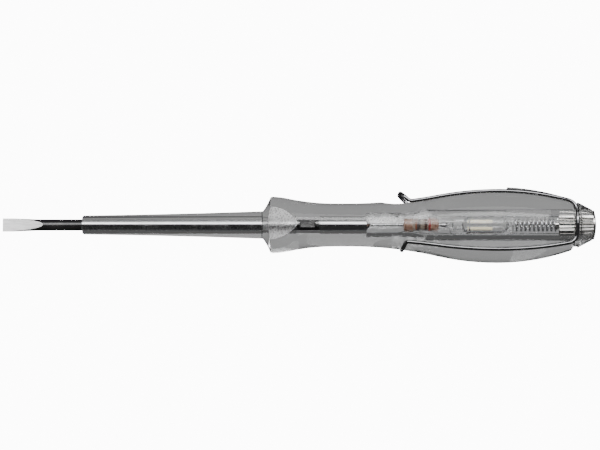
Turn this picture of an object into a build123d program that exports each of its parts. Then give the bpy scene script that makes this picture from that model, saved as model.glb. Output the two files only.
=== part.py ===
from build123d import *
import os
from math import acos, asin, atan, atan2, ceil, cos, degrees, hypot, pi, radians, sin, sqrt, tan

# Voltage tester screwdriver, in millimetres. X runs back from the blade's tip along the axis,
# Y points towards the pocket clip, and Z stands square on the flats that keep it from rolling.

# Blade
bare_blade_length = 18.2
shaft_radius = 1.3
tip_width = 3.0
tip_thickness = 0.5
grind_length = 9.3
grind_wheel_radius = 60.0
flare_length = 8.0
flare_half_width = 1.62
flare_half_height = 1.0
blade_point_length = 1.1
crimp_length = 5.6
crimp_from_shoulder = 7.3
crimp_waist = 2.1
wing_reach = 1.7
wing_thickness = 1.1
wing_ramp_length = 1.2

# Handle moulding
sleeve_length = 41.3
sleeve_front_radius = 2.17
sleeve_middle_radius = 2.56
sleeve_rear_radius = 3.16
sleeve_edge_radius = 0.5
shoulder_length = 1.8
shoulder_root_radius = 0.5
shoulder_hollow_radius = 14.0
collar_radius = 6.5
collar_edge_radius = 0.6
collar_length = 14.7
collar_crest_share = 0.265
neck_radius = 4.94
neck_length = 3.4
bulge_radius = 8.72
bulge_front_length = 33.65
bulge_front_share = 0.591
bulge_rear_length = 17.3
rear_edge_share = 0.93
groove_width = 1.2
groove_radius = 5.0
groove_depth = 0.76
groove_lip = 0.22
cone_length = 3.2
cone_end_radius = 3.55
flat_height = 5.3
solid_grip_length = 23.7
moulding_bite = 0.03
shaft_clearance = 0.05

# Bore for the inner parts
bore_front_radius = 1.85
bore_rear_radius = 2.4
bore_step_start = 10.3
bore_step_length = 4.0

# Seat under the clip
seat_front_height = 5.24
seat_low_height = 4.25
seat_rear_height = 7.2
seat_front_from_crest = 27.05
seat_low_from_crest = 23.15
seat_rear_past_crest = 2.4
seat_bottom_curve = 12.0
seat_back_curve = 150.0
seat_corner_radius = 0.8

# Clip wire
wire_radius = 0.45
clip_clearance = 0.12
leg_angle = 131.0
arm_angle = 39.0
leg_front_from_groove = 37.6
arm_front_from_groove = 36.8
wrap_bend_radius = 2.4
wrap_bend_run = 2.8
foot_bend_radius = 0.85
foot_run = 1.3
foot_end_angle = 151.5
foot_lean = 0.7
lip_angle = 42.0
lip_length = 2.9
lip_corner_radius = 2.0
lip_bend_radius = 1.5
arm_run = 1.2
twist_height = 3.0
twist_gap = 0.06

# Resistor
resistor_lead_radius = 0.3
front_lead_length = 7.6
rear_lead_length = 1.4
coating_length = 8.2
coating_end_radius = 1.5
coating_middle_radius = 1.32
coating_end_length = 2.1
coating_slope_length = 0.5
coating_edge_radius = 0.5
core_radius = 0.95
film_thickness = 0.05
cap_wall = 0.2
cap_length = 1.6
cap_inset = 0.35
band_width = 0.6
band_thickness = 0.03
band_places = (2.9, 3.5, 5.05, 5.95)

# Glow lamp
glass_radius = 2.0
glass_wall = 0.4
glass_length = 10.1
pinch_length = 2.0
pinch_width = 3.0
pinch_thickness = 1.6
glass_shoulder_length = 1.2
glass_tip_radius = 0.45
glass_tip_length = 0.7
electrode_radius = 0.4
electrode_length = 5.2
electrode_spacing = 1.7
lamp_lead_radius = 0.15
lamp_lead_gap = 0.03
lamp_lead_run = 1.3
lamp_lead_bend = 0.55
lead_seat_length = 1.4
solder_radius = 0.55
solder_end_radius = 0.42
solder_length = 1.3

# Spring and touch contact
spring_wire_radius = 0.2
spring_radius = 1.5
spring_pitch = 1.02
spring_seat_gap = 0.02
plug_length = 8.4
plug_crest_bite = 0.02
plug_tooth_depth = 0.22
plug_teeth = 24
plug_chamfer = 0.3
spigot_radius = 0.95
spigot_length = 0.8
head_radius = 3.35
head_edge = 0.45
head_dome = 0.5

# Cutters run past what they cut by this much
overrun = 2.0

# Places along the axis, from the tip back
sleeve_front = bare_blade_length
shoulder_front = sleeve_front + sleeve_length
collar_front = shoulder_front + shoulder_length
neck_front = collar_front + collar_length
neck_rear = neck_front + neck_length
crest = neck_rear + bulge_front_length
groove_front = crest + bulge_rear_length
groove_rear = groove_front + groove_width
groove_middle = (groove_front + groove_rear) / 2
handle_rear = groove_rear + cone_length
bore_front = shoulder_front + solid_grip_length
blade_rear = bore_front + blade_point_length
resistor_front = blade_rear + front_lead_length
resistor_rear = resistor_front + coating_length
solder_middle = resistor_rear + rear_lead_length
pinch_front = solder_middle + lamp_lead_run + lamp_lead_bend
glass_rear = pinch_front + pinch_length + glass_length
lamp_rear = glass_rear + glass_tip_length
lead_end_middle = lamp_rear + lamp_lead_gap + lamp_lead_radius
plug_front = handle_rear - plug_length
spring_front = lead_end_middle + lamp_lead_radius + spring_seat_gap
spring_rear = plug_front - spring_seat_gap

# The handle's two long curves meet on the line between their ends
neck_joint = neck_rear + bulge_front_share * bulge_front_length
neck_joint_radius = neck_radius + bulge_front_share * (bulge_radius - neck_radius)

# The clip's centre line lies this far off the handle
wire_lift = wire_radius + clip_clearance


def arc_radius(run, rise):
    """Radius of an arc that leaves the level and climbs by rise over run."""
    return (run**2 + rise**2) / (rise + rise)


bulge_rear_radius = groove_radius + groove_depth
neck_curve = arc_radius(neck_joint - neck_rear, neck_joint_radius - neck_radius)
bulge_front_curve = arc_radius(crest - neck_joint, bulge_radius - neck_joint_radius)
bulge_rear_curve = arc_radius(bulge_rear_length, bulge_radius - bulge_rear_radius)
rear_slope = asin(bulge_rear_length / bulge_rear_curve)
rear_edge_radius = rear_edge_share * groove_depth * tan(pi / 4 + rear_slope / 2)


def skin_radius(x, lift=0):
    """Distance from the axis to the handle's neck and bulge at x, or to a line lifted off it."""
    if x < neck_joint - lift * (neck_joint - neck_rear) / neck_curve:
        curve = neck_curve - lift
        away = min(x - neck_rear, 0) if x < neck_rear - neck_length else max(x - neck_rear, 0)
        return neck_radius + neck_curve - sqrt(curve**2 - away**2)
    curve = (bulge_front_curve if x < crest else bulge_rear_curve) + lift
    return bulge_radius + lift - curve + sqrt(curve**2 - (x - crest) ** 2)


def round_about_axis(outline):
    """A solid of revolution about X from a closed half outline in the XY plane."""
    return revolve(make_face(outline), Axis.X, 360)


def corner(shape, x, y):
    """The vertex nearest a point of a flat outline."""
    return shape.vertices().sort_by_distance((x, y, 0))[0]


def wire_along(path, radius):
    """A round wire along a path of joined edges."""
    start = Plane(origin=path @ 0, z_dir=path % 0)
    return sweep(start * Circle(radius), path=path)


def shaft_with_wings(front, looser, tighter):
    """Round shaft from front to its pointed end, with its crimp, or the cavity for it."""
    radius = shaft_radius + looser
    span = blade_rear - front
    shaft = Plane.YZ.offset(front) * extrude(Circle(radius), span)
    rear_edge = shaft.edges().sort_by(Axis.X)[-1]
    shaft = chamfer(rear_edge, blade_point_length)
    crimp_front = shoulder_front + crimp_from_shoulder
    crimp_middle = crimp_front + crimp_length / 2
    waist = crimp_waist / 2 + looser
    for side in (1, -1):
        waist_cut = Box(crimp_length, shaft_radius, overrun * 2)
        shaft -= Pos(crimp_middle, side * (waist + shaft_radius / 2), 0) * waist_cut
    reach = wing_reach - tighter
    outline = Polyline(
        (crimp_front, 0),
        (crimp_front + wing_ramp_length, reach),
        (crimp_front + crimp_length - wing_ramp_length, reach),
        (crimp_front + crimp_length, 0),
        (crimp_front + crimp_length - wing_ramp_length, -reach),
        (crimp_front + wing_ramp_length, -reach),
        close=True,
    )
    wings = extrude(Plane.XZ * make_face(outline), wing_thickness / 2 - tighter, both=True)
    return shaft + wings


def make_blade():
    """Steel blade: flared and ground flat tip, round shaft, crimped wings, pointed rear end."""
    forging = loft(
        [
            Plane.YZ * Ellipse(flare_half_width, flare_half_height),
            Plane.YZ.offset(flare_length) * Circle(shaft_radius),
        ]
    )
    blank = forging + shaft_with_wings(flare_length, 0, 0)
    ground = hypot(grind_length, shaft_radius - tip_thickness / 2)
    hollow = ground**2 / (8 * grind_wheel_radius)
    start = Vector(0, tip_thickness / 2)
    end = Vector(grind_length, shaft_radius)
    middle = (start + end) / 2 - Vector(0, hollow)
    for side in (1, -1):
        wheel = make_face(
            [
                ThreePointArc(start, middle, end).edge(),
                Polyline(
                    end,
                    (grind_length, shaft_radius + overrun),
                    (-overrun, shaft_radius + overrun),
                    (-overrun, tip_thickness / 2),
                    start,
                ).edges(),
            ]
        )
        wheel = extrude(Plane.XZ * wheel, tip_width, both=True)
        blank -= wheel if side > 0 else mirror(wheel, Plane.XY)
        side_cut = Box(flare_length, tip_width, overrun * 2)
        blank -= Pos(flare_length / 2, side * tip_width, 0) * side_cut
    return blank


def rest_tilt():
    """Angle of the plane that touches the collar flat's front edge and the bulge."""
    run = crest - collar_front
    drop = flat_height - bulge_radius + bulge_front_curve
    return asin(bulge_front_curve / hypot(run, drop)) - atan2(drop, run)


def make_handle():
    """Clear moulding with the blade's sleeve, collar, neck, bulge, clip groove and rear cone."""
    sleeve_middle = (sleeve_front + shoulder_front) / 2
    collar_joint = Vector(
        collar_front + collar_crest_share * collar_length,
        collar_radius + collar_crest_share * (neck_radius - collar_radius),
    )
    cone_radius = groove_radius + groove_lip
    outline = [
        ThreePointArc(
            (sleeve_front, sleeve_front_radius),
            (sleeve_middle, sleeve_middle_radius),
            (shoulder_front, sleeve_rear_radius),
        ),
        RadiusArc(
            (shoulder_front, sleeve_rear_radius),
            (collar_front, collar_radius),
            -shoulder_hollow_radius,
        ),
        TangentArc((collar_front, collar_radius), collar_joint, tangent=(1, 0)),
        TangentArc((neck_front, neck_radius), collar_joint, tangent=(-1, 0)),
        Line((neck_front, neck_radius), (neck_rear, neck_radius)),
        TangentArc((neck_rear, neck_radius), (neck_joint, neck_joint_radius), tangent=(1, 0)),
        TangentArc((crest, bulge_radius), (neck_joint, neck_joint_radius), tangent=(-1, 0)),
        TangentArc((crest, bulge_radius), (groove_front, bulge_rear_radius), tangent=(1, 0)),
        Polyline(
            (groove_front, bulge_rear_radius),
            (groove_front, groove_radius),
            (groove_rear, groove_radius),
            (groove_rear, cone_radius),
            (handle_rear, cone_end_radius),
            (handle_rear, 0),
            (sleeve_front, 0),
            (sleeve_front, sleeve_front_radius),
        ),
    ]
    half = make_face([edge for line in outline for edge in line.edges()])
    for x, radius, rounding in (
        (sleeve_front, sleeve_front_radius, sleeve_edge_radius),
        (shoulder_front, sleeve_rear_radius, shoulder_root_radius),
        (collar_front, collar_radius, collar_edge_radius),
        (groove_front, bulge_rear_radius, rear_edge_radius),
    ):
        half = fillet(corner(half, x, radius), rounding)
    handle = revolve(half, Axis.X, 360)
    handle -= inner_bore()
    handle -= clip_seat()
    for side in (1, -1):
        handle -= roll_flat(side)
    return handle - shaft_with_wings(sleeve_front - overrun, shaft_clearance, moulding_bite)


def inner_bore():
    """Stepped bore for the resistor, lamp, spring and plug, open at the rear."""
    step_front = bore_front + bore_step_start
    step_rear = step_front + bore_step_length
    return round_about_axis(
        Polyline(
            (bore_front, 0),
            (bore_front, bore_front_radius),
            (step_front, bore_front_radius),
            (step_rear, bore_rear_radius),
            (handle_rear + overrun, bore_rear_radius),
            (handle_rear + overrun, 0),
            close=True,
        )
    )


def clip_seat():
    """Cutter for the dished face under the clip's arm, crowned lengthwise up to a rounded step."""
    front = (crest - seat_front_from_crest, seat_front_height)
    low = (crest - seat_low_from_crest, seat_low_height)
    step = (crest + seat_rear_past_crest, seat_rear_height)
    top = bulge_radius + overrun
    back = RadiusArc(low, step, seat_back_curve)
    rim = Polyline(step, (step[0], top), (front[0], top), front, low)
    outline = make_face(back.edges() + rim.edges())
    outline = fillet(corner(outline, *low), seat_bottom_curve)
    outline = fillet(corner(outline, *step), seat_corner_radius)
    return extrude(outline, bulge_radius, both=True)


def roll_flat(side):
    """Cutter for one of the collar's two flats, which lie in the plane that the bulge rests on."""
    rise = tan(rest_tilt())
    front = collar_front - overrun
    rear = (neck_front + neck_rear) / 2
    outline = Polyline(
        (front, side * (flat_height - overrun * rise)),
        (rear, side * (flat_height + (rear - collar_front) * rise)),
        (rear, side * (collar_radius + overrun)),
        (front, side * (collar_radius + overrun)),
        close=True,
    )
    return extrude(Plane.XZ * make_face(outline), collar_radius, both=True)


def around(x, radius, angle):
    """A point at x, at a distance from the axis and an angle from the clip's side."""
    turn = radians(angle)
    return Vector(x, radius * cos(turn), radius * sin(turn))


def hugging_arcs(front, rear, angle):
    """Arcs of the wire's centre line along the handle from front to rear, at one angle."""
    joint = neck_joint - wire_lift * (neck_joint - neck_rear) / neck_curve
    arcs = []
    start = front
    for end in (min(joint, rear), min(crest, rear), rear):
        if end - start > wire_radius:
            places = (start, (start + end) / 2, end)
            arcs.append(
                ThreePointArc(*[around(x, skin_radius(x, wire_lift), angle) for x in places])
            )
            start = end
    return arcs


def groove_corner():
    """Corner over the groove: its radius, and where the straight run to it leaves the bulge."""
    curve = bulge_rear_curve + wire_lift
    centre_radius = bulge_radius + wire_lift - curve
    run = groove_middle - crest
    rise = sqrt(curve**2 + wrap_bend_run**2 - run**2)
    turn = atan2(run, rise) - atan(wrap_bend_run / curve)
    return centre_radius + rise, crest + curve * sin(turn)


def run_forward(front, angle, run):
    """Start of a straight run that meets the hugging arc at front, a run ahead of it."""
    here = around(front, skin_radius(front, wire_lift), angle)
    near = front + clip_clearance
    next_to = around(near, skin_radius(near, wire_lift), angle)
    return here - (next_to - here).normalized() * run


def clip_side():
    """Edges of the clip wire on the +Z side, from the foot's end to the arm's front."""
    corner_radius, rear = groove_corner()
    leg_front = groove_middle - leg_front_from_groove
    foot = run_forward(leg_front, leg_angle, foot_run)
    foot_radius = hypot(foot.Y, foot.Z)
    middle_angle = (leg_angle + foot_end_angle) / 2
    stretch = 1 / cos(radians((foot_end_angle - leg_angle) / 4))
    foot_middle = around(foot.X - foot_lean / 2, foot_radius * stretch, middle_angle)
    foot_end = around(foot.X - foot_lean, foot_radius, foot_end_angle)
    leg_start = around(leg_front, skin_radius(leg_front, wire_lift), leg_angle)
    edges = FilletPolyline(
        foot_end, foot_middle, foot, leg_start, radius=(foot_radius / 2, foot_bend_radius)
    ).edges()
    for arc in hugging_arcs(leg_front, rear, leg_angle):
        edges += arc.edges()
    wrap_radius = groove_radius + wire_lift
    half_wrap = (leg_angle - arm_angle) / 2 - degrees(acos(wrap_radius / corner_radius))
    wrap_middle = around(
        groove_middle, wrap_radius / cos(radians(half_wrap)), (leg_angle + arm_angle) / 2
    )
    edges += FilletPolyline(
        around(rear, skin_radius(rear, wire_lift), leg_angle),
        around(groove_middle, corner_radius, leg_angle),
        wrap_middle,
        around(groove_middle, corner_radius, arm_angle),
        around(rear, skin_radius(rear, wire_lift), arm_angle),
        radius=(wrap_bend_radius, wrap_radius, wrap_bend_radius),
    ).edges()
    arm_front = groove_middle - arm_front_from_groove
    for arc in reversed(hugging_arcs(arm_front, rear, arm_angle)):
        edges += arc.edges()
    return edges


def clip_lip():
    """Edges of the bent-up end that joins the clip's two arms."""
    arm_front = groove_middle - arm_front_from_groove
    start = around(arm_front, skin_radius(arm_front, wire_lift), arm_angle)
    bend = run_forward(arm_front, arm_angle, arm_run)
    rise = radians(lip_angle)
    tip = Vector(bend.X - lip_length * cos(rise), bend.Y + lip_length * sin(rise), bend.Z)
    points = [start, bend, tip]
    points += [Vector(p.X, p.Y, -p.Z) for p in reversed(points)]
    radii = (lip_bend_radius, lip_corner_radius, lip_corner_radius, lip_bend_radius)
    return FilletPolyline(*points, radius=radii).edges()


def make_clip():
    """The clip's bent wire, parted where it twists: its arm above and its grip below."""
    side = clip_side()
    other = [edge.mirror(Plane.XY) for edge in side]
    path = Wire(list(side) + list(clip_lip()) + other)
    wire = wire_along(path, wire_radius)
    reach = groove_middle + overrun
    block = Box(reach, bulge_radius * 2, bulge_radius * 4)
    above = Pos(reach / 2 + overrun, twist_height + twist_gap / 2 + bulge_radius, 0) * block
    below = Pos(reach / 2 + overrun, twist_height - twist_gap / 2 - bulge_radius, 0) * block
    return wire & above, wire & below


def rod(front, length, radius, y=0):
    """Round rod along X."""
    return Pos(front, y, 0) * (Plane.YZ * extrude(Circle(radius), length))


def coating_outline():
    """Half outline of the resistor's lacquered body, wider over its two caps."""
    end = coating_end_length
    slope = end + coating_slope_length
    half = make_face(
        Polyline(
            (0, 0),
            (0, coating_end_radius),
            (end, coating_end_radius),
            (slope, coating_middle_radius),
            (coating_length - slope, coating_middle_radius),
            (coating_length - end, coating_end_radius),
            (coating_length, coating_end_radius),
            (coating_length, 0),
            close=True,
        )
    )
    for x in (0, coating_length):
        half = fillet(corner(half, x, coating_end_radius), coating_edge_radius)
    return half


def make_resistor():
    """Resistor pieces by name, from the ceramic core out."""
    film_radius = core_radius + film_thickness
    cap_radius = film_radius + cap_wall
    cap_front = cap_inset
    cap_rear = coating_length - cap_inset
    core_front = cap_front + cap_wall
    core_length = cap_rear - cap_wall - core_front
    core = rod(core_front, core_length, core_radius)
    film = rod(core_front, core_length, film_radius) - core
    front_cap = rod(cap_front, cap_length, cap_radius) - rod(core_front, cap_length, film_radius)
    rear_cap = rod(cap_rear - cap_length, cap_length, cap_radius)
    rear_cap -= rod(cap_rear - cap_length - cap_wall, cap_length, film_radius)
    front_lead = rod(-front_lead_length, front_lead_length + cap_front, resistor_lead_radius)
    rear_lead = rod(cap_rear, rear_lead_length + cap_inset, resistor_lead_radius)
    coating = revolve(coating_outline(), Axis.X, 360)
    for inner in (front_lead, rear_lead, rod(core_front, core_length, film_radius)):
        coating -= inner
    coating -= rod(cap_front, cap_length, cap_radius)
    coating -= rod(cap_rear - cap_length, cap_length, cap_radius)
    painted = revolve(Pos(0, band_thickness, 0) * coating_outline(), Axis.X, 360)
    painted -= revolve(coating_outline(), Axis.X, 360)
    bands = [
        painted & rod(place - band_width / 2, band_width, coating_end_radius + band_thickness)
        for place in band_places
    ]
    pieces = {
        "resistor_core": core,
        "resistor_film": film,
        "resistor_front_cap": front_cap,
        "resistor_rear_cap": rear_cap,
        "resistor_front_lead": front_lead,
        "resistor_rear_lead": rear_lead,
        "resistor_coating": coating,
        "resistor_bands": Compound(children=bands),
    }
    return {name: Pos(resistor_front, 0, 0) * piece for name, piece in pieces.items()}


def lamp_leads(radius):
    """The lamp's forward lead and the one folded back along the glass to the spring."""
    beside = electrode_spacing / 2
    inside = pinch_front + pinch_length + lead_seat_length
    out = pinch_front - lamp_lead_bend
    low = glass_radius + lamp_lead_gap + lamp_lead_radius
    forward = FilletPolyline(
        (inside, beside),
        (pinch_front - lamp_lead_bend / 2, beside),
        (out - lamp_lead_run / 2, 0),
        (solder_middle, 0),
        radius=lamp_lead_bend,
    )
    back = FilletPolyline(
        (inside, -beside),
        (out, -beside),
        (out, -low),
        (lead_end_middle, -low),
        (lead_end_middle, spigot_radius),
        radius=lamp_lead_bend,
    )
    return wire_along(forward.wire(), radius), wire_along(back.wire(), radius)


def glass_outline(wall):
    """Half outline of the lamp's glass, or of the gas space that lies a wall inside it."""
    radius = glass_radius - wall
    front = pinch_front + pinch_length + wall
    rear = glass_rear - wall
    shoulder = front + glass_shoulder_length
    neck = pinch_thickness / 2 - wall / 2
    outline = [
        Polyline((rear - radius, 0), (front, 0), (front, neck)),
        Line((front, neck), (shoulder, radius)),
        Line((shoulder, radius), (rear - radius, radius)),
        RadiusArc((rear - radius, radius), (rear, 0), radius),
        Line((rear, 0), (rear - radius, 0)),
    ]
    return make_face([edge for line in outline for edge in line.edges()])


def make_lamp():
    """Glow lamp pieces by name: glass with pressed end and sealed tip, rods and leads."""
    glass = revolve(glass_outline(0), Axis.X, 360)
    pinch = Box(pinch_length + glass_shoulder_length, pinch_width, pinch_thickness)
    pinch = fillet(pinch.edges().filter_by(Axis.X), pinch_thickness / 3)
    glass += Pos(pinch_front + (pinch_length + glass_shoulder_length) / 2, 0, 0) * pinch
    tip = rod(glass_rear - glass_wall, glass_wall + glass_tip_length, glass_tip_radius)
    tip = fillet(tip.edges().sort_by(Axis.X)[-1], glass_tip_radius / 2)
    glass += tip
    glass -= revolve(glass_outline(glass_wall), Axis.X, 360)
    for lead in lamp_leads(lamp_lead_radius - moulding_bite):
        glass -= lead
    front_lead, return_lead = lamp_leads(lamp_lead_radius)
    pieces = {"lamp_glass": glass, "lamp_front_lead": front_lead, "lamp_return_lead": return_lead}
    rod_front = pinch_front + pinch_length + lead_seat_length
    for name, side in (("lamp_electrode_a", 1), ("lamp_electrode_b", -1)):
        electrode = rod(rod_front, electrode_length, electrode_radius, side * electrode_spacing / 2)
        rounded = electrode.edges().sort_by(Axis.X)[-1]
        pieces[name] = fillet(rounded, electrode_radius / 2)
    return pieces


def make_solder_joint(*leads):
    """Bead that joins the resistor's rear lead to the lamp's forward lead."""
    front = (-solder_length / 2, solder_end_radius)
    rear = (solder_length / 2, solder_end_radius)
    outline = [
        ThreePointArc(front, (0, solder_radius), rear),
        Polyline(rear, (rear[0], 0), (front[0], 0), front),
    ]
    half = make_face([edge for line in outline for edge in line.edges()])
    bead = Pos(solder_middle, 0, 0) * revolve(half, Axis.X, 360)
    for lead in leads:
        bead -= lead
    return bead


def biarc(start, start_way, end, end_way):
    """Two tangent arcs from start to end, along the given directions there."""
    across = end - start
    ways = start_way + end_way
    spread = 1 - start_way.dot(end_way)
    along = across.dot(ways)
    reach = (sqrt(along**2 + 2 * spread * across.dot(across)) - along) / (2 * spread)
    first = start + start_way * reach
    second = end - end_way * reach
    middle = (first + second) / 2
    return [
        Edge.make_tangent_arc(start, start_way, middle),
        Edge.make_tangent_arc(middle, second - first, end),
    ]


def make_spring():
    """Compression spring wound of one wire, and the least gap between its turns."""
    mean_radius = spring_radius - spring_wire_radius
    length = spring_rear - spring_front - spring_wire_radius * 2
    turns = max(ceil(length / spring_pitch - spring_wire_radius / spring_pitch), 2)
    pitch = length / turns
    begin = spring_front + spring_wire_radius
    quarters = turns * 4

    def centre(turn):
        return Vector(
            begin + pitch * turn,
            mean_radius * cos(2 * pi * turn),
            mean_radius * sin(2 * pi * turn),
        )

    def way(turn):
        around_turn = 2 * pi * mean_radius
        return Vector(
            pitch, -around_turn * sin(2 * pi * turn), around_turn * cos(2 * pi * turn)
        ).normalized()

    edges = []
    for quarter in range(quarters):
        start = quarter / 4
        end = (quarter + 1) / 4
        edges += biarc(centre(start), way(start), centre(end), way(end))
    steps = 24
    samples = [centre(step / steps) for step in range(turns * steps + 1)]
    gaps = [
        (samples[i] - samples[j]).length - spring_wire_radius * 2
        for i in range(len(samples))
        for j in range(i + steps // 2, len(samples))
    ]
    print("spring turns", turns, "pitch", round(pitch, 3), "least gap", round(min(gaps), 3))
    return wire_along(Wire(edges), spring_wire_radius)


def make_contact_plug():
    """Touch contact: serrated shank with a spigot for the spring, and a domed head."""
    crest_radius = bore_rear_radius + plug_crest_bite
    root_radius = crest_radius - plug_tooth_depth
    points = []
    for tooth in range(plug_teeth * 2):
        radius = crest_radius if tooth % 2 == 0 else root_radius
        turn = pi * tooth / plug_teeth
        points.append((radius * cos(turn), radius * sin(turn)))
    star = make_face(Polyline(*points, close=True))
    shank = Plane.YZ.offset(plug_front) * extrude(star, plug_length)
    envelope = rod(plug_front, plug_length, crest_radius)
    envelope = chamfer(envelope.edges().sort_by(Axis.X)[0], plug_chamfer)
    shank = shank & envelope
    head_rear = handle_rear + head_edge
    dome_curve = arc_radius(head_radius, head_dome)
    outline = [
        Polyline(
            (handle_rear, 0), (handle_rear, head_radius), (head_rear, head_radius)
        ),
        RadiusArc((head_rear, head_radius), (head_rear + head_dome, 0), dome_curve),
        Line((head_rear + head_dome, 0), (handle_rear, 0)),
    ]
    half = make_face([edge for line in outline for edge in line.edges()])
    head = revolve(half, Axis.X, 360)
    spigot = rod(plug_front - spigot_length, spigot_length, spigot_radius)
    return shank + head + spigot


def make_all():
    """Every node's solid by name."""
    parts = {"handle": make_handle(), "blade": make_blade()}
    parts["clip_arm"], parts["clip_grip"] = make_clip()
    parts.update(make_resistor())
    parts.update(make_lamp())
    parts["solder_joint"] = make_solder_joint(
        parts["resistor_rear_lead"], parts["lamp_front_lead"]
    )
    parts["contact_spring"] = make_spring()
    parts["contact_plug"] = make_contact_plug()
    return parts


os.makedirs("parts", exist_ok=True)
for name, part in make_all().items():
    export_step(part, f"parts/{name}.step")
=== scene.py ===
import bmesh
import bpy
from math import cos, pi, radians, sin, tan
from mathutils import Matrix, Vector


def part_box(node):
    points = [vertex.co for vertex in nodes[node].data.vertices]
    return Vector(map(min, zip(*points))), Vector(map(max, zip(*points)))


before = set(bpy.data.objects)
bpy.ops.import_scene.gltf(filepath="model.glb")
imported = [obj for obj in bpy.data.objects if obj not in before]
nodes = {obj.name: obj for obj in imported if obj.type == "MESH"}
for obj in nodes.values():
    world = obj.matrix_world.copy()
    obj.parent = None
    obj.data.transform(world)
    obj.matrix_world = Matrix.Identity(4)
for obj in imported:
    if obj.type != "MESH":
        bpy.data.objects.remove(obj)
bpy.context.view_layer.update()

scene = bpy.context.scene
mm = 0.001

# Places along the tool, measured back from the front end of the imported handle
handle_low, handle_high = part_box("handle")
coating_low, coating_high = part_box("resistor_coating")
sleeve_front = handle_low[0]
handle_rear = handle_high[0]
collar_front = sleeve_front + 43.1 * mm
bore_front = collar_front + 21.9 * mm
bore_radius = 2.55 * mm
coating_middle = (coating_low[0] + coating_high[0]) / 2.0

# The collar's flat: its plane tilts away from the axis towards the neck
flat_height = 5.3 * mm
flat_tilt = radians(3.94)
flat_middle = collar_front + 3.3 * mm
flat_half_length = 4.0 * mm
flat_edge = (-0.05 * mm, -0.01 * mm)

# Where worn patches of the flat's grain fade in and out along the seat and the neck, and how
# far to the clip's side the neck's begin
seat_patches = (80.0 * mm, 92.0 * mm), (98.0 * mm, 104.0 * mm)
neck_patches = (66.0 * mm, 68.0 * mm), (72.0 * mm, 82.0 * mm)
neck_patches_side = (3.2 * mm, 4.2 * mm)

# Where the pits in the bore thin out: towards the plug, and on the side away from the clip
pits_thin_along = (bore_front + 14.0 * mm, bore_front + 19.0 * mm)
pits_thin_across = (-0.7 * mm, 0.3 * mm)
bore_wall_slack = 0.05 * mm
hazy_cone = (handle_rear - 3.6 * mm, handle_rear - 3.2 * mm)

# The blade: how far back the tip and the grinding reach, and the painted shade at the crimp
tip_length = 1.6 * mm
ground_length = 9.5 * mm
# where the painted highlight of the shaft inside the sleeve fades in
into_sleeve = (sleeve_front - 0.1 * mm, sleeve_front + 0.3 * mm)
crimp_middle = collar_front + 8.3 * mm
crimp_shade_fade = (3.6 * mm, 2.9 * mm)
crimp_shade_ragged = 1.2 * mm

# The camera looks square on the tool, which is rolled a little about its own axis
picture_width = 137.3 * mm
sensor_width = 36.0
lens_length = 135.0
roll_angle = radians(5.5)
aim = Vector((68.0 * mm, 0.0, 0.0))

# Brightness of the surroundings, from white to the camera down to the deepest shade
camera_white = 12.0
back_grey = 0.7
mirror_end_grey = 0.6
paper_grey = 0.36
lit_grey = 0.33
sky_grey = 0.2
shade_grey = 0.1
mirror_grey = 0.05
dark_grey = 0.035

# Where these change: on the paper, by the distance beside the tool; in the studio, by how much
# of a direction points along the tool or towards the lamps' side
paper_dims = (14.0 * mm, 36.0 * mm)
paper_lit_from = (3.0 * mm, 9.0 * mm)
studio_ends = (0.3, 0.7)
studio_lit_from = (0.1, 0.6)
mirrored_ends = (0.88, 0.97)
floor_half_size = 3.0
floor_drop = 0.02 * mm


def put_camera():
    """A long lens above the tool, with the tip at the left."""
    data = bpy.data.cameras.new("camera")
    data.lens = lens_length
    data.sensor_width = sensor_width
    camera = bpy.data.objects.new("camera", data)
    scene.collection.objects.link(camera)
    distance = picture_width * lens_length / sensor_width
    away = Vector((0.0, -sin(roll_angle), cos(roll_angle))) * distance
    camera.matrix_world = Matrix.Translation(aim + away) @ Matrix.Rotation(roll_angle, 4, "X")
    scene.camera = camera


def put_softbox(name, angle, distance, spread, length, radiance, along=0.0):
    """A softbox at an angle from straight above the tool, and a share of its distance along it."""
    width = 2.0 * distance * tan(radians(spread) / 2.0)
    data = bpy.data.lights.new(name, "AREA")
    data.shape = "RECTANGLE"
    data.size = length
    data.size_y = width
    data.energy = radiance * pi * length * width
    lamp = bpy.data.objects.new(name, data)
    scene.collection.objects.link(lamp)
    turn = radians(angle)
    place = aim + Vector((along, sin(turn), cos(turn))) * distance
    facing = (aim - place).to_track_quat("-Z", "Y").to_matrix().to_4x4()
    lamp.matrix_world = Matrix.Translation(place) @ facing
    lamp.visible_camera = False
    return lamp


def put_lamps():
    """Two softboxes above, a card for the blade's tip, and a lamp below the paper."""
    put_softbox("softbox", 28.0, distance=0.5, spread=48.0, length=0.7, radiance=1.6)
    put_softbox("strip", 27.0, distance=0.45, spread=13.0, length=0.62, radiance=6.0)
    tip_card = put_softbox(
        "tip_card", 6.0, distance=0.5, spread=24.0, length=0.2, radiance=3.2, along=-0.37
    )
    put_softbox("back_light", 168.0, distance=0.5, spread=26.0, length=0.5, radiance=11.0)
    # the card lights the blade alone, so the handle doesn't mirror it
    card_receivers = bpy.data.collections.new("card_receivers")
    card_receivers.objects.link(nodes["blade"])
    tip_card.light_linking.receiver_collection = card_receivers


# Material nodes


def new_material(name):
    """A material with its node tree, its shader and an Object coordinate to start from."""
    made = bpy.data.materials.new(name)
    made.use_nodes = True
    tree = made.node_tree
    shader = tree.nodes["Principled BSDF"]
    place = tree.nodes.new("ShaderNodeTexCoord").outputs["Object"]
    return made, tree, shader, place


def feed(tree, socket, value):
    """Links a socket to another node's output, or sets it to a plain value."""
    if isinstance(value, bpy.types.NodeSocket):
        tree.links.new(value, socket)
    else:
        socket.default_value = value


def maths(tree, operation, *values):
    """The result of one Math node."""
    node = tree.nodes.new("ShaderNodeMath")
    node.operation = operation
    for socket, value in zip(node.inputs, values):
        feed(tree, socket, value)
    return node.outputs[0]


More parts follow.
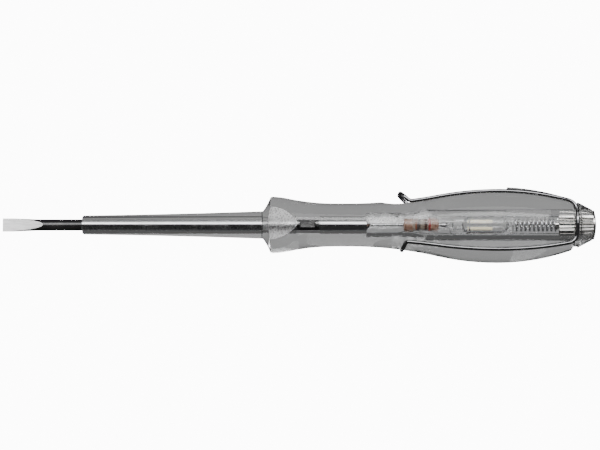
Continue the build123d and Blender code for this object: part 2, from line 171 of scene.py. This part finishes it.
def times(tree, first, *others):
    """The product of all the values."""
    for other in others:
        first = maths(tree, "MULTIPLY", first, other)
    return first


def largest(tree, first, *others):
    """The largest of the values."""
    for other in others:
        first = maths(tree, "MAXIMUM", first, other)
    return first


def smooth_step(tree, value, low, high, start=0.0, end=1.0):
    """Goes smoothly from start to end as value goes from low to high."""
    node = tree.nodes.new("ShaderNodeMapRange")
    node.interpolation_type = "SMOOTHSTEP"
    names = ("Value", "From Min", "From Max", "To Min", "To Max")
    for name, item in zip(names, (value, low, high, start, end)):
        feed(tree, node.inputs[name], item)
    return node.outputs[0]


def stretch(tree, along, fade_in, fade_out):
    """1 on a stretch of the tool, with soft ends."""
    rise = smooth_step(tree, along, *fade_in)
    fall = smooth_step(tree, along, fade_out[1], fade_out[0])
    return times(tree, rise, fall)


def mix_colour(tree, share, first, second):
    """A colour between two, by a share."""
    node = tree.nodes.new("ShaderNodeMix")
    node.data_type = "RGBA"
    feed(tree, node.inputs["Factor"], share)
    feed(tree, node.inputs["A"], first)
    feed(tree, node.inputs["B"], second)
    return node.outputs["Result"]


def grey_colour(tree, value):
    """A colour with the same value in its three channels."""
    node = tree.nodes.new("ShaderNodeCombineColor")
    for socket in node.inputs[:3]:
        tree.links.new(value, socket)
    return node.outputs[0]


def axes(tree, place):
    """The three components of a place or a direction."""
    node = tree.nodes.new("ShaderNodeSeparateXYZ")
    tree.links.new(place, node.inputs[0])
    return node.outputs["X"], node.outputs["Y"], node.outputs["Z"]


def facing(tree):
    """The three components of the surface's normal."""
    return axes(tree, tree.nodes.new("ShaderNodeNewGeometry").outputs["Normal"])


def stretched(tree, place, scale, turn=(0.0, 0.0, 0.0)):
    """A place with its axes turned and scaled, for a pattern that runs one way."""
    node = tree.nodes.new("ShaderNodeMapping")
    tree.links.new(place, node.inputs["Vector"])
    node.inputs["Rotation"].default_value = turn
    node.inputs["Scale"].default_value = scale
    return node.outputs["Vector"]


def noise(tree, place, scale, detail=3.0, roughness=0.5):
    """Grey noise at a place."""
    node = tree.nodes.new("ShaderNodeTexNoise")
    tree.links.new(place, node.inputs["Vector"])
    feed(tree, node.inputs["Scale"], scale)
    node.inputs["Detail"].default_value = detail
    node.inputs["Roughness"].default_value = roughness
    return node.outputs["Fac"]


def bump(tree, shader, height, distance, strength):
    """A Bump node into the shader's normal."""
    node = tree.nodes.new("ShaderNodeBump")
    node.inputs["Distance"].default_value = distance
    node.inputs["Strength"].default_value = strength
    tree.links.new(height, node.inputs["Height"])
    tree.links.new(node.outputs["Normal"], shader.inputs["Normal"])


def let_lamps_through(tree, shader, tint):
    """Lets the lamps' light pass a surface, with a tint, to what lies behind it."""
    path = tree.nodes.new("ShaderNodeLightPath")
    passing = tree.nodes.new("ShaderNodeBsdfTransparent")
    passing.inputs["Color"].default_value = tint
    mixed = tree.nodes.new("ShaderNodeMixShader")
    tree.links.new(path.outputs["Is Shadow Ray"], mixed.inputs["Fac"])
    tree.links.new(shader.outputs[0], mixed.inputs[1])
    tree.links.new(passing.outputs[0], mixed.inputs[2])
    tree.links.new(mixed.outputs[0], tree.nodes["Material Output"].inputs["Surface"])


def new_group(name, inputs, outputs):
    """An empty node group with named sockets."""
    group = bpy.data.node_groups.new(name, "ShaderNodeTree")
    for label, kind, value in inputs:
        socket = group.interface.new_socket(name=label, in_out="INPUT", socket_type=kind)
        if value is not None:
            socket.default_value = value
    for label in outputs:
        group.interface.new_socket(name=label, in_out="OUTPUT", socket_type="NodeSocketFloat")
    given = group.nodes.new("NodeGroupInput").outputs
    results = group.nodes.new("NodeGroupOutput").inputs
    return group, given, results


def use_group(tree, group, **values):
    """A group placed in a material, with its own values."""
    node = tree.nodes.new("ShaderNodeGroup")
    node.node_tree = group
    for key, value in values.items():
        feed(tree, node.inputs[key.replace("_", " ")], value)
    return node.outputs


def cells(tree, place, scale):
    """A Voronoi node, for specks and grains."""
    node = tree.nodes.new("ShaderNodeTexVoronoi")
    tree.links.new(place, node.inputs["Vector"])
    tree.links.new(scale, node.inputs["Scale"])
    return node


def draw_marks_group():
    """Fine drawing marks and faint smears of handled metal."""
    group, given, results = new_group(
        "drawing_marks",
        (
            ("Place", "NodeSocketVector", None),
            ("Stretched Place", "NodeSocketVector", None),
            ("Fineness", "NodeSocketFloat", 900.0),
            ("Smooth", "NodeSocketFloat", 0.12),
            ("Rough", "NodeSocketFloat", 0.28),
        ),
        ("Height", "Roughness", "Smear"),
    )
    line_share, smear_share = 0.45, 0.55
    lines = noise(group, given["Stretched Place"], given["Fineness"], detail=4.0)
    smear = smooth_step(group, noise(group, given["Place"], 260.0, detail=5.0), 0.42, 0.68)
    blend = maths(group, "MULTIPLY_ADD", lines, line_share, times(group, smear, smear_share))
    rough = smooth_step(group, blend, 0.2, 0.85, given["Smooth"], given["Rough"])
    group.links.new(lines, results["Height"])
    group.links.new(rough, results["Roughness"])
    group.links.new(smear, results["Smear"])
    return group


def specks_group():
    """Tiny specks of dust scattered over a surface."""
    group, given, results = new_group(
        "specks",
        (
            ("Place", "NodeSocketVector", None),
            ("Cells", "NodeSocketFloat", 900.0),
            ("Size", "NodeSocketFloat", 0.12),
            ("Amount", "NodeSocketFloat", 0.3),
        ),
        ("Mask",),
    )
    scattered = cells(group, given["Place"], given["Cells"]).outputs
    colour = group.nodes.new("ShaderNodeSeparateColor")
    group.links.new(scattered["Color"], colour.inputs[0])
    kept = maths(group, "LESS_THAN", colour.outputs[0], given["Amount"])
    dot = smooth_step(group, scattered["Distance"], given["Size"], 0.0)
    group.links.new(times(group, kept, dot), results["Mask"])
    return group


def frost_group():
    """Coarse sparkling grain of a spark-eroded mould face."""
    group, given, results = new_group(
        "frost",
        (
            ("Place", "NodeSocketVector", None),
            ("Grain", "NodeSocketFloat", 3200.0),
        ),
        ("Height",),
    )
    finer, fine_share = 1.7, 0.6
    grains = cells(group, given["Place"], given["Grain"])
    grains.feature = "SMOOTH_F1"
    fine = noise(group, given["Place"], times(group, given["Grain"], finer))
    height = maths(group, "MULTIPLY_ADD", fine, fine_share, grains.outputs["Distance"])
    group.links.new(height, results["Height"])
    return group


drawing_marks = draw_marks_group()
specks = specks_group()
frost = frost_group()


# The clear handle


def bore_wall(tree, along, across, up):
    """1 on the wall of the bore that holds the resistor, lamp and spring."""
    squares = maths(tree, "MULTIPLY_ADD", up, up, times(tree, across, across))
    off_axis = maths(tree, "SQRT", squares)
    inside = maths(tree, "GREATER_THAN", along, bore_front - bore_wall_slack)
    return times(tree, maths(tree, "LESS_THAN", off_axis, bore_radius), inside)


def upper_flat(tree, along, up):
    """1 on the collar's upper flat."""
    run = maths(tree, "SUBTRACT", along, collar_front)
    plane = maths(tree, "MULTIPLY_ADD", run, tan(flat_tilt), flat_height)
    on_plane = smooth_step(tree, maths(tree, "SUBTRACT", up, plane), *flat_edge)
    at_collar = maths(tree, "COMPARE", along, flat_middle, flat_half_length)
    return times(tree, on_plane, at_collar)


def worn_grain(tree, along, across, patches):
    """Patches of the flat's grain on the seat and the neck, worn glossy in between."""
    near_neck = stretch(tree, along, *neck_patches)
    near_neck = times(tree, near_neck, smooth_step(tree, across, *neck_patches_side))
    near_seat = stretch(tree, along, *seat_patches)
    return times(tree, smooth_step(tree, patches, 0.52, 0.62), largest(tree, near_seat, near_neck))


def bore_pits(tree, bore, along, across, patches):
    """How pitted the bore's wall is: most at its front and on the clip's side."""
    return times(
        tree,
        bore,
        smooth_step(tree, patches, 0.4, 0.6, 0.3, 0.8),
        smooth_step(tree, along, *pits_thin_along, 1.0, 0.3),
        smooth_step(tree, across, *pits_thin_across, 0.25, 1.0),
    )


def clear_handle_plastic():
    """Clear moulding: glossy outside, frosted on its upper flat, pitted in the bore, and a
    little hazy on its rear cone."""
    clear = (0.93, 0.935, 0.94, 1.0)
    lamp_tint = (0.93, 0.93, 0.93, 1.0)
    worn_strength = 0.5
    grain_relief, wave_relief = 1.6, 0.12
    grain_roughness, pit_roughness, cone_roughness = 0.4, 0.36, 0.15
    dust_roughness, gloss_roughness = 0.25, 0.015

    made, tree, shader, place = new_material("clear_handle_plastic")
    shader.inputs["Transmission Weight"].default_value = 1.0
    shader.inputs["IOR"].default_value = 1.49
    along, across, up = axes(tree, place)
    patches = noise(tree, place, 420.0, detail=4.0, roughness=0.6)
    grain = use_group(tree, frost, Place=place, Grain=2600.0)["Height"]
    waves = noise(tree, stretched(tree, place, (0.35, 1.0, 1.0)), 190.0, detail=2.0)
    dust = use_group(tree, specks, Place=place, Cells=700.0, Size=0.16, Amount=0.12)["Mask"]

    bore = bore_wall(tree, along, across, up)
    flat = upper_flat(tree, along, up)
    # the worn patches stay off the silhouette, where they would break the outline
    facing_up = smooth_step(tree, facing(tree)[2], 0.35, 0.6)
    outside = times(tree, maths(tree, "SUBTRACT", 1.0, bore), facing_up)
    worn = worn_grain(tree, along, across, patches)
    grainy = largest(tree, flat, times(tree, worn, outside, worn_strength))
    pitted = bore_pits(tree, bore, along, across, patches)

    rugged = largest(tree, times(tree, grainy, grain_relief), pitted)
    height = maths(tree, "MULTIPLY_ADD", grain, rugged, times(tree, waves, wave_relief))
    rough = largest(
        tree,
        times(tree, grainy, grain_roughness),
        times(tree, pitted, pit_roughness),
        smooth_step(tree, along, *hazy_cone, 0.0, cone_roughness),
        maths(tree, "MULTIPLY_ADD", dust, dust_roughness, gloss_roughness),
    )
    feed(tree, shader.inputs["Roughness"], rough)
    sparkle = grey_colour(tree, smooth_step(tree, grain, 0.52, 0.8, 0.42, 1.0))
    feed(tree, shader.inputs["Base Color"], mix_colour(tree, flat, clear, sparkle))
    bump(tree, shader, height, distance=0.03 * mm, strength=0.9)
    let_lamps_through(tree, shader, lamp_tint)
    return made


# The metal


def blade_steel():
    """Dark polished shaft, bright where the tip is ground flat, with a painted highlight where it
    lies in the sleeve and painted shade darkening the crimp."""
    bare = (0.055, 0.055, 0.057, 1.0)
    sleeve_painted_highlight = (0.66, 0.66, 0.665, 1.0)
    smeared = (0.2, 0.195, 0.19, 1.0)
    # painted shade that darkens the crimp
    painted_crimp_shade = (0.02, 0.019, 0.018, 1.0)
    ground_dull = (0.66, 0.66, 0.66, 1.0)
    ground_bright = (0.9, 0.9, 0.9, 1.0)
    smear_strength, crimp_shade_strength = 0.25, 0.84
    facing_tip = -0.06
    ground_roughness = 0.42
    mark_relief = 0.15

    made, tree, shader, place = new_material("blade_steel_finish")
    along = axes(tree, place)[0]
    hollow = maths(tree, "LESS_THAN", facing(tree)[0], facing_tip)
    ground = largest(tree, hollow, maths(tree, "LESS_THAN", along, tip_length))
    ground = times(tree, ground, maths(tree, "LESS_THAN", along, ground_length))
    wheel_way = stretched(tree, place, (60.0, 900.0, 60.0), (0.0, 0.0, radians(28.0)))
    wheel = noise(tree, wheel_way, 6.0, detail=5.0, roughness=0.65)
    marks = use_group(
        tree,
        drawing_marks,
        Place=place,
        Stretched_Place=stretched(tree, place, (0.04, 1.0, 1.0)),
        Fineness=2400.0,
        Smooth=0.1,
        Rough=0.24,
    )
    # painted highlight: the shaft's colour is made brighter, and more metallic, where it lies in
    # the clear sleeve
    in_sleeve = smooth_step(tree, along, *into_sleeve)
    feed(tree, shader.inputs["Metallic"], maths(tree, "MULTIPLY_ADD", in_sleeve, 0.3, 0.7))
    shaft = mix_colour(tree, in_sleeve, bare, sleeve_painted_highlight)
    shaft = mix_colour(tree, times(tree, marks["Smear"], smear_strength), shaft, smeared)
    # the edges of the painted shade at the crimp break up
    off_crimp = maths(tree, "ABSOLUTE", maths(tree, "SUBTRACT", along, crimp_middle))
    crimp_shade_noise = noise(tree, place, 1500.0)
    off_crimp = maths(tree, "MULTIPLY_ADD", crimp_shade_noise, crimp_shade_ragged, off_crimp)
    # painted shade: the crimp's colour is darkened nearly to black
    crimp_shade = smooth_step(tree, off_crimp, *crimp_shade_fade, 0.0, crimp_shade_strength)
    shaft = mix_colour(tree, crimp_shade, shaft, painted_crimp_shade)
    bright = mix_colour(tree, smooth_step(tree, wheel, 0.35, 0.65), ground_dull, ground_bright)
    feed(tree, shader.inputs["Base Color"], mix_colour(tree, ground, shaft, bright))
    rough = largest(tree, marks["Roughness"], times(tree, ground, ground_roughness))
    feed(tree, shader.inputs["Roughness"], rough)
    faint_marks = times(tree, marks["Height"], mark_relief)
    height = maths(tree, "MULTIPLY_ADD", wheel, ground, faint_marks)
    bump(tree, shader, height, distance=0.012 * mm, strength=0.6)
    return made


def polished_wire(name, colour, fineness, smooth, rough, way=(1.0, 1.0, 1.0)):
    """Drawn metal with fine marks along it, duller where it is smeared."""
    dulling, smear_strength = 0.62, 0.5
    made, tree, shader, place = new_material(name)
    shader.inputs["Metallic"].default_value = 1.0
    marks = use_group(
        tree,
        drawing_marks,
        Place=place,
        Stretched_Place=stretched(tree, place, way),
        Fineness=fineness,
        Smooth=smooth,
        Rough=rough,
    )
    dull = [channel * dulling for channel in colour[:3]] + [1.0]
    smeared = times(tree, marks["Smear"], smear_strength)
    feed(tree, shader.inputs["Base Color"], mix_colour(tree, smeared, colour, dull))
    feed(tree, shader.inputs["Roughness"], marks["Roughness"])
    bump(tree, shader, marks["Height"], distance=0.006 * mm, strength=0.5)
    return made


# The resistor, the lamp and the small parts


def painted_bands():
    """Four colour bands, told apart by where they lie on the resistor."""
    first_brown = (0.15, 0.05, 0.025, 1.0)
    later_bands = (
        (3.0 * mm, (0.05, 0.04, 0.035, 1.0)),
        (4.3 * mm, (0.05, 0.022, 0.014, 1.0)),
        (5.5 * mm, (0.2, 0.02, 0.016, 1.0)),
    )
    lacquer_showing = (0.2, 0.15, 0.12, 1.0)
    made, tree, shader, place = new_material("colour_bands")
    along = axes(tree, place)[0]
    colour = first_brown
    for from_front, paint in later_bands:
        past = maths(tree, "GREATER_THAN", along, coating_low[0] + from_front)
        colour = mix_colour(tree, past, colour, paint)
    patches = noise(tree, place, 2400.0, detail=4.0)
    thin = smooth_step(tree, patches, 0.5, 0.75, 0.0, 0.25)
    feed(tree, shader.inputs["Base Color"], mix_colour(tree, thin, colour, lacquer_showing))
    feed(tree, shader.inputs["Roughness"], smooth_step(tree, patches, 0.3, 0.7, 0.25, 0.45))
    bump(tree, shader, patches, distance=0.01 * mm, strength=0.5)
    return made


def resistor_lacquer():
    """Lacquer that is browner where it swells over the two end caps."""
    body_colours = (0.15, 0.12, 0.095, 1.0), (0.24, 0.2, 0.16, 1.0)
    end_colours = (0.16, 0.085, 0.055, 1.0), (0.26, 0.155, 0.115, 1.0)
    made, tree, shader, place = new_material("resistor_lacquer_finish")
    along = axes(tree, place)[0]
    from_middle = maths(tree, "ABSOLUTE", maths(tree, "SUBTRACT", along, coating_middle))
    cap = smooth_step(tree, from_middle, 1.6 * mm, 2.6 * mm)
    clouds = noise(tree, place, 1600.0, detail=4.0)
    body = mix_colour(tree, clouds, *body_colours)
    ends = mix_colour(tree, clouds, *end_colours)
    feed(tree, shader.inputs["Base Color"], mix_colour(tree, cap, body, ends))
    feed(tree, shader.inputs["Roughness"], smooth_step(tree, clouds, 0.3, 0.7, 0.22, 0.4))
    bump(tree, shader, clouds, distance=0.03 * mm, strength=0.6)
    shader.inputs["Coat Weight"].default_value = 0.4
    return made


def plain_finish(name, colour, smooth, rough, scale, relief, metallic=0.0):
    """A finish with fine mottling in its colour, roughness and height."""
    darkening = 0.7
    made, tree, shader, place = new_material(name)
    shader.inputs["Metallic"].default_value = metallic
    mottle = noise(tree, place, scale, detail=5.0, roughness=0.6)
    darker = [channel * darkening for channel in colour[:3]] + [1.0]
    feed(tree, shader.inputs["Base Color"], mix_colour(tree, mottle, darker, colour))
    feed(tree, shader.inputs["Roughness"], smooth_step(tree, mottle, 0.3, 0.7, smooth, rough))
    bump(tree, shader, mottle, distance=relief, strength=0.6)
    return made


def lamp_glass_finish():
    """Thin soft glass with faint drawing lines."""
    faint_tint = (0.97, 0.975, 0.97, 1.0)
    clear = (1.0, 1.0, 1.0, 1.0)
    lamp_tint = (0.96, 0.96, 0.96, 1.0)
    made, tree, shader, place = new_material("lamp_glass_finish")
    shader.inputs["Transmission Weight"].default_value = 1.0
    shader.inputs["IOR"].default_value = 1.5
    lines = noise(tree, stretched(tree, place, (0.15, 1.0, 1.0)), 1500.0)
    feed(tree, shader.inputs["Roughness"], smooth_step(tree, lines, 0.3, 0.8, 0.0, 0.05))
    feed(tree, shader.inputs["Base Color"], mix_colour(tree, lines, faint_tint, clear))
    bump(tree, shader, lines, distance=0.01 * mm, strength=0.4)
    let_lamps_through(tree, shader, lamp_tint)
    return made


def dress_nodes():
    """Gives each carried-over node its finish."""
    tinned = polished_wire(
        "tinned_wire_finish", (0.62, 0.62, 0.63, 1.0), 1600.0, 0.2, 0.38, way=(0.2, 1.0, 1.0)
    )
    clip = polished_wire(
        "clip_wire_finish", (0.31, 0.31, 0.32, 1.0), 2200.0, 0.04, 0.09, way=(0.1, 1.0, 1.0)
    )
    spring = polished_wire("spring_wire_finish", (0.72, 0.72, 0.73, 1.0), 2600.0, 0.1, 0.25)
    plug = polished_wire(
        "plug_finish", (0.78, 0.76, 0.73, 1.0), 1800.0, 0.08, 0.22, way=(0.3, 1.0, 1.0)
    )
    ceramic = plain_finish(
        "ceramic_finish", (0.85, 0.83, 0.78, 1.0), 0.45, 0.65, scale=3000.0, relief=0.01 * mm
    )
    film = plain_finish(
        "carbon_finish", (0.03, 0.028, 0.027, 1.0), 0.3, 0.5, scale=2600.0, relief=0.006 * mm
    )
    solder = plain_finish(
        "solder_finish",
        (0.7, 0.7, 0.71, 1.0),
        0.16,
        0.4,
        scale=1500.0,
        relief=0.05 * mm,
        metallic=1.0,
    )
    # the electrodes' pale warm colour is their metal with the lamp's warm glow painted in
    electrode_and_glow = plain_finish(
        "electrode_and_glow_finish", (0.95, 0.86, 0.62, 1.0), 0.35, 0.6, scale=2400.0, relief=0.012 * mm
    )
    finishes = {
        "handle": clear_handle_plastic(),
        "blade": blade_steel(),
        "clip_arm": clip,
        "clip_grip": clip,
        "resistor_core": ceramic,
        "resistor_film": film,
        "resistor_front_cap": tinned,
        "resistor_rear_cap": tinned,
        "resistor_front_lead": tinned,
        "resistor_rear_lead": tinned,
        "resistor_coating": resistor_lacquer(),
        "resistor_bands": painted_bands(),
        "lamp_glass": lamp_glass_finish(),
        "lamp_front_lead": tinned,
        "lamp_return_lead": tinned,
        "lamp_electrode_a": electrode_and_glow,
        "lamp_electrode_b": electrode_and_glow,
        "solder_joint": solder,
        "contact_spring": spring,
        "contact_plug": plug,
    }
    for name, finish in finishes.items():
        mesh = nodes[name].data
        mesh.materials.clear()
        mesh.materials.append(finish)


# The surroundings


def seen_by(tree, grey, turned_grey, mirrored):
    """The surroundings' brightness: white to the camera, grey through clear plastic, another
    grey where a ray was turned back inside it, and what bare metal mirrors."""
    path = tree.nodes.new("ShaderNodeLightPath").outputs
    turned = maths(tree, "GREATER_THAN", path["Glossy Depth"], 0.5)
    shaded = maths(tree, "MULTIPLY_ADD", turned, maths(tree, "SUBTRACT", turned_grey, grey), grey)
    over_mirrored = maths(tree, "SUBTRACT", shaded, mirrored)
    through = times(tree, path["Is Transmission Ray"], over_mirrored)
    white = maths(tree, "SUBTRACT", camera_white, mirrored)
    white = maths(tree, "MULTIPLY_ADD", path["Is Camera Ray"], white, through)
    return grey_colour(tree, maths(tree, "ADD", white, mirrored))


def paper_floor():
    """Pale paper that the picture shows bright, and the tool's clear and bright faces see grey."""
    made = bpy.data.materials.new("paper")
    made.use_nodes = True
    tree = made.node_tree
    tree.nodes.remove(tree.nodes["Principled BSDF"])
    across = axes(tree, tree.nodes.new("ShaderNodeTexCoord").outputs["Object"])[1]
    aside = maths(tree, "ABSOLUTE", across)
    grey = smooth_step(tree, aside, *paper_dims, paper_grey, sky_grey)
    # the tool's own shade lies on the side away from the lamps
    turned_grey = smooth_step(tree, across, *paper_lit_from, shade_grey, lit_grey)
    glow = tree.nodes.new("ShaderNodeEmission")
    feed(tree, glow.inputs["Color"], seen_by(tree, grey, turned_grey, mirror_grey))
    # the lamp below shines up through the paper onto the frosted faces
    let_lamps_through(tree, glow, (1.0, 1.0, 1.0, 1.0))
    return made


def put_studio():
    """An even studio, brighter towards the lamps' side and past the tool's two ends."""
    world = bpy.data.worlds.new("studio")
    scene.world = world
    world.use_nodes = True
    tree = world.node_tree
    back, side, _ = axes(tree, tree.nodes.new("ShaderNodeTexCoord").outputs["Generated"])
    past_ends = maths(tree, "ABSOLUTE", back)
    grey = smooth_step(tree, past_ends, *studio_ends, sky_grey, back_grey)
    turned_ends = smooth_step(tree, past_ends, *studio_ends, dark_grey, back_grey / 2.0)
    turned_side = smooth_step(tree, side, *studio_lit_from, dark_grey, lit_grey)
    turned_grey = largest(tree, turned_ends, turned_side)
    mirrored = smooth_step(tree, past_ends, *mirrored_ends, mirror_grey, mirror_end_grey)
    brightness = seen_by(tree, grey, turned_grey, mirrored)
    feed(tree, tree.nodes["Background"].inputs["Color"], brightness)


def put_floor():
    """Pale floor in the plane that the collar's flat and the bulge rest on."""
    form = bmesh.new()
    bmesh.ops.create_grid(form, x_segments=1, y_segments=1, size=floor_half_size)
    tilt = Matrix.Rotation(flat_tilt, 4, "Y")
    rest = Matrix.Translation((collar_front, 0.0, -flat_height - floor_drop)) @ tilt
    bmesh.ops.transform(form, matrix=rest, verts=form.verts)
    mesh = bpy.data.meshes.new("floor")
    form.to_mesh(mesh)
    form.free()
    floor = bpy.data.objects.new("floor", mesh)
    scene.collection.objects.link(floor)
    mesh.materials.append(paper_floor())


put_camera()
put_lamps()
put_studio()
put_floor()
dress_nodes()
